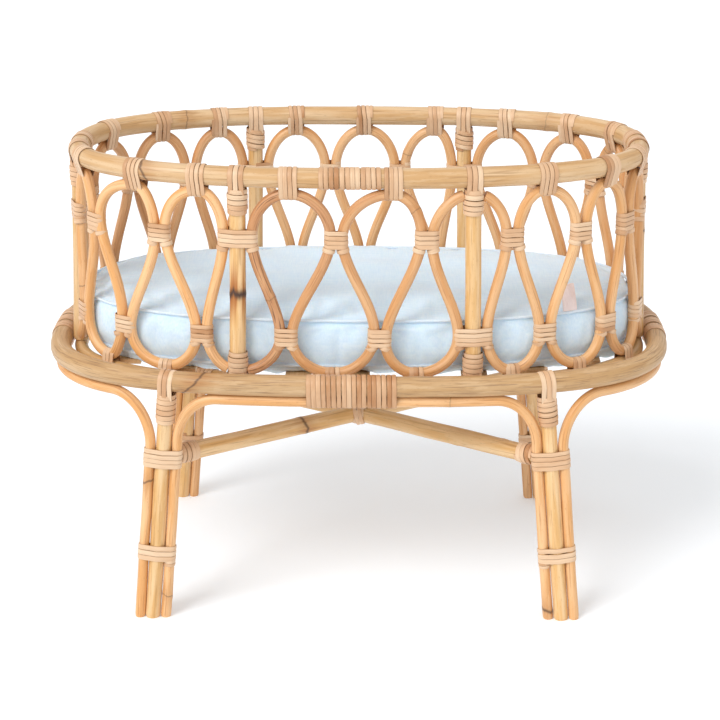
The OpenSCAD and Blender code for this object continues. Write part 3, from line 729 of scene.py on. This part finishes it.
def half_loop(w, top_gap, low_gap, arch_cut, foot_cut):
    """Half a loop, from the arch top at 0 down to the foot at w, as distance and height."""
    arch_w, foot_w = w - top_gap, w - low_gap
    a = np.linspace(math.asin(arch_cut / arch_w), math.pi / 2, 14)
    arch = np.stack([arch_w * np.sin(a), upper_z + (arch_z - upper_z) * np.cos(a)], -1)
    t = np.linspace(0, 1, 14)[1:, None]
    p = np.array([(arch_w, upper_z), (arch_w, upper_z - pull),
                  (low_gap, lower_z + pull), (low_gap, lower_z)])
    slant = ((1 - t) ** 3 * p[0] + 3 * (1 - t) ** 2 * t * p[1]
             + 3 * (1 - t) * t ** 2 * p[2] + t ** 3 * p[3])
    a = np.linspace(0, math.acos(foot_cut / foot_w), 14)[1:]
    foot = np.stack([w - foot_w * np.cos(a), lower_z - (lower_z - foot_z) * np.sin(a)], -1)
    return np.concatenate([arch, slant, foot])


def cell(i):
    """The stretch of cane between one station and the next."""
    arch, foot = (i, i + 1) if i % 2 else (i + 1, i)
    half = half_loop(half_widths[i] * share, beside(foot), beside(arch),
                     round_post if has_post(arch) else 0, round_post if has_post(foot) else 0)
    if i % 2:
        return half + [station(i), 0]
    return ([station(i + 1), 0] - half * [1, -1])[::-1] * [1, 1]


# The first and last station of each cane, how brown it is from end to end, and its leaf joints
loop_looks = {
    "front_left": (0, 6, (0.5, 0.4, 0.25, 0.1, 0.15, 0.2), [(0.055, 0.5, 0.3)]),
    "front": (6, 11, (1.0, 0.9, 0.65, 0.75, 0.6, 0.65), [(0.08, 0.4, 0.3), (0.62, 0.4, 0.3)]),
    "front_right": (11, 18, (0.6, 0.5, 0.4, 0.55, 0.6), [(0.9, 0.5, 0.3)]),
    "back_right": (18, 26, 0.6, [(0.5, 0.4, 0.2)]),
    "back": (26, 32, 0.55, [(0.2, 0.4, 0.2)]),
    "back_left": (32, 40, 0.7, [(0.7, 0.4, 0.2)])}
for name, (first, last, tone, knots) in loop_looks.items():
    route = np.concatenate([cell(i)[0 if i == first else 1 :] for i in range(first, last)])
    path = on_wall(route[:, 0], route[:, 1])
    cane(f"loops_{name}_cane", path, loop_r, core_rattan, f"loops_{name}",
         side=plan_outward(rim_plan, path[0][:2]), knots=knots, tone=tone)

# ---- Top rim -------------------------------------------------------------------------
# The thick pole that the hand meets, sanded smooth and bent to an oval. Its two ends are
# scarfed together under the wrap at the front.

rim_joint = 307 * mm
rim_path = level(on_plan(rim_plan, rim_joint - 9 * mm + circuit), rim_z)
cane("top_rim_pole", rim_path, rim_r, tan_rattan, "top_rim", tone=0.5,
     knots=[(rim_length - 172 * mm, 0.75, 0.5), (0.36 * rim_length, 0.35, 0.1),
            (0.64 * rim_length, 0.5, 0.1)], worn=1)

# ---- Bindings of the basket ----------------------------------------------------------
# Ties hang the arches from the rim and hold the feet on the base ring; flat ties pinch the
# canes together side by side; straps and collars hold the posts; a close wrap covers the scarf.


def facing_out(plan, p):
    """An origin and the directions along a plan, out of it and up."""
    outward = plan_outward(plan, p[:2])
    return p, np.cross(outward, up), outward, up


def at_wall(s, z):
    return facing_out(rim_plan, on_wall(s, z))


def at_rim(s):
    return facing_out(rim_plan, np.append(on_plan(rim_plan, s), rim_z))


def upright(s, z):
    """The same place with its first direction up, for what is wound round upright canes."""
    p, along, outward, _ = at_wall(s, z)
    return p, up, outward, along


rim_bindings, base_bindings = new_peel(), new_peel()
high_bindings, low_bindings = new_peel(), new_peel()
below_tie = 9.5 * mm
for i in range(station_count):
    s = station(i)
    if not has_post(i):
        if i % 2:
            wind(rim_bindings, at_wall(s, rim_z),
                 [(0, 0, rim_r + 0.1 * mm), (0, arch_z - rim_z, loop_r)], 16 * mm, 4)
        else:
            wind(base_bindings, at_wall(s, base_z), [(0, 0, base_r), (0, foot_z - base_z, loop_r)],
                 13 * mm, 3)
    peel, z = (low_bindings, lower_z) if i % 2 else (high_bindings, upper_z)
    reach = beside(i)
    held = [(0, reach, loop_r), (0, -reach, loop_r)] + ([(0, 0, post_r)] if has_post(i) else [])
    wind(peel, upright(s, z), held, 16 * mm, 4)
    # Under the tie, one slanted turn round each cane alone keeps it from slipping
    slant, apart = (-0.3, 0.8 * mm) if i % 2 else (0.22, 1.2 * mm)
    for way in (-1, 1):
        p, _, outward, along = upright(s, z - below_tie)
        axis = unit(up - along * way * slant)
        middle = p + along * way * (reach + apart)
        wind(peel, (middle, axis, outward, np.cross(axis, outward)), [(0, 0, loop_r)], 4.2 * mm, 1)
finish_peel(rim_bindings, "rim_bindings", "rim_ties")
finish_peel(base_bindings, "base_bindings", "foot_ties")
finish_peel(high_bindings, "upper_loop_bindings", "upper_loop_ties")
finish_peel(low_bindings, "lower_loop_bindings", "lower_loop_ties")

post_tops, post_feet = new_peel(), new_peel()
collar_h = 22 * mm
for i in post_stations:
    s = station(i)
    strap(post_tops, at_wall(s, rim_z),
          [(0, 0, rim_r + 0.2 * mm), (0, -rim_r - 5 * mm, post_r + 0.2 * mm)], 13.5 * mm, 3)
    wind(post_tops, upright(s, rim_z - rim_r - 1 * mm - collar_h / 2), [(0, 0, post_r + 0.1 * mm)],
         collar_h, 5, lift=1.0 * mm)
    if i in (0, 18):
        continue
    p, along, outward, _ = at_wall(s, base_z)
    strap(post_feet, (p, along, outward, -up),
          [(0, 0, base_r + 0.2 * mm), (0, -base_r - 5 * mm, post_r + 0.2 * mm)], 13.5 * mm, 3)
    wind(post_feet, upright(s, base_z + base_r + 1 * mm + collar_h / 2), [(0, 0, post_r + 0.1 * mm)],
         collar_h, 5, lift=1.0 * mm)
finish_peel(post_tops, "post_top_straps_and_collars", "post_top_wraps")
finish_peel(post_feet, "post_foot_straps_and_collars", "post_foot_wraps")

joint_wrap = new_peel()
for i in range(3):
    wind(joint_wrap, at_rim(281 * mm + i * 17.3 * mm), [(0, 0, rim_r + 0.1 * mm)], 17.2 * mm, 4)
finish_peel(joint_wrap, "rim_joint_winding", "rim_joint_wrap")

# ---- Mattress ------------------------------------------------------------------------
# A loose pad filled with fibre, in plain woven cotton: a top, a bottom and a side band, joined
# by corded seams that draw the cloth into soft creases. It lies on the slats.

mattress_plan = (244.5 * mm, 115 * mm, 2.46)
mattress_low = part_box("mattress")[0].z
mattress_high = mattress_low + 47.5 * mm
low_seam = mattress_low + 7 * mm
seam_inset = 3 * mm
sag = 4.5 * mm
slat_pitch, slat_half = 50 * mm, 11 * mm

# Plain cotton, dyed pale blue: matt, soft at a glancing view, with uneven threads. The real
# threads are 0.3 mm apart, too fine to show, so the slubs are drawn at 1.2 mm.
cotton, tree, shader = material("plain_woven_cotton")
where = add(tree, "TexCoord").outputs["Object"]
threads = []
fine, coarse, deep = 1 / (1.2 * mm), 1 / (16 * mm), 1 / (3 * mm)
for scale in ([fine, coarse, deep], [coarse, fine, deep]):
    at = add(tree, "VectorMath", {0: where, 1: scale}, operation="MULTIPLY").outputs[0]
    threads.append(add(tree, "TexNoise", {"Vector": at, "Scale": 1.0, "Detail": 2.0}).outputs["Fac"])
weave = add(tree, "Math", {0: threads[0], 1: threads[1]}, operation="ADD").outputs[0]
faded = add(tree, "MapRange", {"Value": weave, "From Min": 0.7, "From Max": 1.3}).outputs[0]
colour = add(tree, "Mix", {0: faded, 6: linear("#cfe6fa"), 7: linear("#dceefd")}, data_type="RGBA")
tree.links.new(colour.outputs[2], shader.inputs["Base Color"])
shader.inputs["Roughness"].default_value = 0.85
shader.inputs["Specular IOR Level"].default_value = 0.25
shader.inputs["Sheen Weight"].default_value = 0.25
shader.inputs["Sheen Roughness"].default_value = 0.5
shader.inputs["Subsurface Weight"].default_value = 0.4
shader.inputs["Subsurface Radius"].default_value = (0.6, 0.8, 1.0)
shader.inputs["Subsurface Scale"].default_value = 14 * mm
bump = add(tree, "Bump", {"Height": weave, "Distance": 0.3 * mm, "Strength": 0.4})
tree.links.new(bump.outputs[0], shader.inputs["Normal"])


def pad_ring(inset, z, count=160):
    """A ring of points round the mattress, drawn in by inset."""
    length = plan_lengths(mattress_plan)[0][-1]
    p = on_plan(mattress_plan, np.linspace(0, length, count, endpoint=False))
    return level(p - plan_outward(mattress_plan, p)[:, :2] * inset, z)


def closed_rings(rings):
    """Faces that join rings of equal count from bottom to top, both ends closed."""
    n = len(rings[0])
    faces = [(i * n + j, i * n + (j + 1) % n, (i + 1) * n + (j + 1) % n, (i + 1) * n + j)
             for i in range(len(rings) - 1) for j in range(n)]
    return faces + [tuple(range(n - 1, -1, -1)), tuple(range((len(rings) - 1) * n, len(rings) * n))]


# From the underside to the top, how far the cloth is drawn in and its height
under = mattress_low - sag
rings = [pad_ring(inset, z) for inset, z in (
    (40 * mm, under), (6 * mm, under - 1 * mm), (2.5 * mm, under + 3 * mm), (seam_inset, low_seam),
    (2 * mm, mattress_low + 17 * mm), (2 * mm, mattress_high - 10 * mm), (seam_inset, mattress_high),
    (9 * mm, mattress_high + 0.8 * mm), (60 * mm, mattress_high + 1.2 * mm))]
pad = mesh_object("mattress_pad", np.concatenate(rings), closed_rings(rings), cotton)
remesh = pad.modifiers.new("even_cloth", "REMESH")
remesh.mode = "VOXEL"
remesh.voxel_size = 4.5 * mm
remesh.use_smooth_shade = True


def apply_modifiers(piece):
    made = bpy.data.meshes.new_from_object(piece.evaluated_get(bpy.context.evaluated_depsgraph_get()))
    piece.modifiers.clear()
    piece.data = made


apply_modifiers(pad)
rest = np.array([v.co for v in pad.data.vertices])
seams = pad.vertex_groups.new(name="seams")
seam_path = np.concatenate([pad_ring(seam_inset, z, 400) for z in (low_seam, mattress_high)])
seam_reach = 3.2 * mm
for i, p in enumerate(rest):
    if np.min(np.sum((seam_path - p) ** 2, axis=1)) < seam_reach ** 2:
        seams.add([i], 1.0, "REPLACE")
cloth = pad.modifiers.new("cloth", "CLOTH")
cloth.settings.quality = 6
cloth.settings.mass = 0.3
cloth.settings.tension_stiffness = cloth.settings.compression_stiffness = 12
cloth.settings.bending_stiffness = 0.15
cloth.settings.use_pressure = True
cloth.settings.uniform_pressure_force = 4
cloth.settings.shrink_min = -0.035
cloth.settings.vertex_group_mass = "seams"
cloth.settings.effector_weights.gravity = 0
cloth.point_cache.frame_start, cloth.point_cache.frame_end = 1, 20
for step in range(1, 21):
    bpy.context.scene.frame_set(step)
    bpy.context.view_layer.update()
apply_modifiers(pad)
most = 7 * mm
moved = np.array([v.co for v in pad.data.vertices]) - rest
far = np.linalg.norm(moved, axis=1, keepdims=True)
rest = rest + moved * np.minimum(1, most / np.maximum(far, 1e-9))
bpy.context.scene.frame_set(1)
# Soft hollows in the filling, and puckers where the top seam draws the cloth in
power = mattress_plan[2]
reach = sum(np.abs(rest[:, k] / mattress_plan[k]) ** power for k in (0, 1)) ** (1 / power)
inset = (1 - reach) * mattress_plan[1]
way_round = np.arctan2(rest[:, 1] * mattress_plan[0], rest[:, 0] * mattress_plan[1])
hollow = np.array([noise.noise((13 * x, 22 * y, 3)) for x, y, _ in rest])
hollow *= np.clip((inset - 8 * mm) / (30 * mm), 0, 1)
pucker = np.array([noise.noise((17 * t, 30 * i, 7)) for t, i in zip(way_round, inset)])
pucker *= np.exp(-(((inset - 11 * mm) / (8 * mm)) ** 2))
on_top = rest[:, 2] > mattress_high - 2 * mm
hollow_depth, pucker_depth = 4.5 * mm, 3 * mm
rest[:, 2] += (hollow_depth * hollow + pucker_depth * pucker) * on_top
# The pad sinks between the slats and lies flat on them
off_slat = np.abs((rest[:, 0] + slat_pitch / 2) % slat_pitch - slat_pitch / 2) - slat_half
lowest = mattress_low - sag * np.clip((off_slat - 0.5 * mm) / (5 * mm), 0, 1)
rest[:, 2] = np.maximum(rest[:, 2], lowest)
pad.data.vertices.foreach_set("co", rest.ravel())
pad.data.update()
smoother = pad.modifiers.new("smooth", "SUBSURF")
smoother.levels = smoother.render_levels = 1
apply_modifiers(pad)
pad.data.shade_smooth()
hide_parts("mattress")
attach(pad, "mattress")

# Cord sewn into the two seams, covered in the same cotton
cord_r = 1.3 * mm
for name, z in (("top", mattress_high), ("bottom", low_seam)):
    path = pad_ring(seam_inset - 0.6 * mm, z, 320)
    path = path + 0.35 * mm * np.array([[0, 0, noise.noise((p[0] * 60, p[1] * 60, z))] for p in path])
    outward = plan_outward(mattress_plan, path[:, :2])
    turn = np.linspace(0, 2 * math.pi, 10, endpoint=False)
    radial = np.cos(turn)[:, None] * outward[:, None] + np.sin(turn)[:, None] * up
    around = path[:, None] + cord_r * radial
    n, m = len(path), len(turn)
    faces = [(i * m + j, i * m + (j + 1) % m, ((i + 1) % n) * m + (j + 1) % m, ((i + 1) % n) * m + j)
             for i in range(n) for j in range(m)]
    piping = mesh_object(f"mattress_piping_{name}", around.reshape(-1, 3), faces, cotton)
    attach(piping, "mattress")

# ---- Sewn tag ------------------------------------------------------------------------
# A folded tab of woven satin ribbon, left blank. Its ends are caught in the top seam at the
# front right, and it stands up and leans in over the mattress.

# Polyester satin: smooth pale threads along the tab, a soft sheen
satin, tree, shader = material("woven_satin_ribbon")
where = add(tree, "TexCoord").outputs["Object"]
at = add(tree, "VectorMath", {0: where, 1: [1 / (1.0 * mm), 1 / (1.0 * mm), 1 / (9 * mm)]},
         operation="MULTIPLY").outputs[0]
ribs = add(tree, "TexNoise", {"Vector": at, "Scale": 1.0, "Detail": 1.0}).outputs["Fac"]
colour = add(tree, "Mix", {0: ribs, 6: linear("#f4e6e2"), 7: linear("#e4cfcb")}, data_type="RGBA")
tree.links.new(colour.outputs[2], shader.inputs["Base Color"])
shader.inputs["Roughness"].default_value = 0.4

tag_low, tag_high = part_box("mattress_tag")
tag_x = (tag_low.x + tag_high.x) / 2
tag_foot = np.array([tag_x, -plan_y(mattress_plan, tag_x) + seam_inset, mattress_high - 1 * mm])
tag_out = plan_outward(mattress_plan, tag_foot[:2])
tag_along = np.cross(up, tag_out)
tag_w, tag_h, tag_t = 13 * mm, 24 * mm, 0.5 * mm
tag_lean, tag_ripple = 6 * mm, 1.5 * mm
columns, rows = 7, 12
points = []
for layer in (1, -1):
    for j in range(rows + 1):
        v = j / rows
        for i in range(columns + 1):
            u = i / columns - 0.5
            curl = -tag_lean * v ** 1.6 + tag_ripple * math.sin(5 * u + 3 * v) * v
            thick = layer * tag_t * (1 + 0.5 * v)
            points.append(tag_foot + tag_along * u * tag_w + up * tag_h * v + tag_out * (curl + thick))
wide, layer_size = columns + 1, (columns + 1) * (rows + 1)
faces = []
for j in range(rows):
    for i in range(columns):
        a = j * wide + i
        b = layer_size + a
        faces += [(a, a + 1, a + 1 + wide, a + wide), (b, b + wide, b + 1 + wide, b + 1)]
border = list(range(wide)) + [(j + 1) * wide - 1 for j in range(1, rows + 1)]
border += [rows * wide + i for i in range(columns - 1, -1, -1)]
border += [j * wide for j in range(rows - 1, 0, -1)]
for a, b in zip(border, border[1:] + border[:1]):
    faces.append((b, a, layer_size + a, layer_size + b))
tag = mesh_object("mattress_ribbon_tag", points, faces, satin)
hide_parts("mattress_tag")
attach(tag, "mattress")
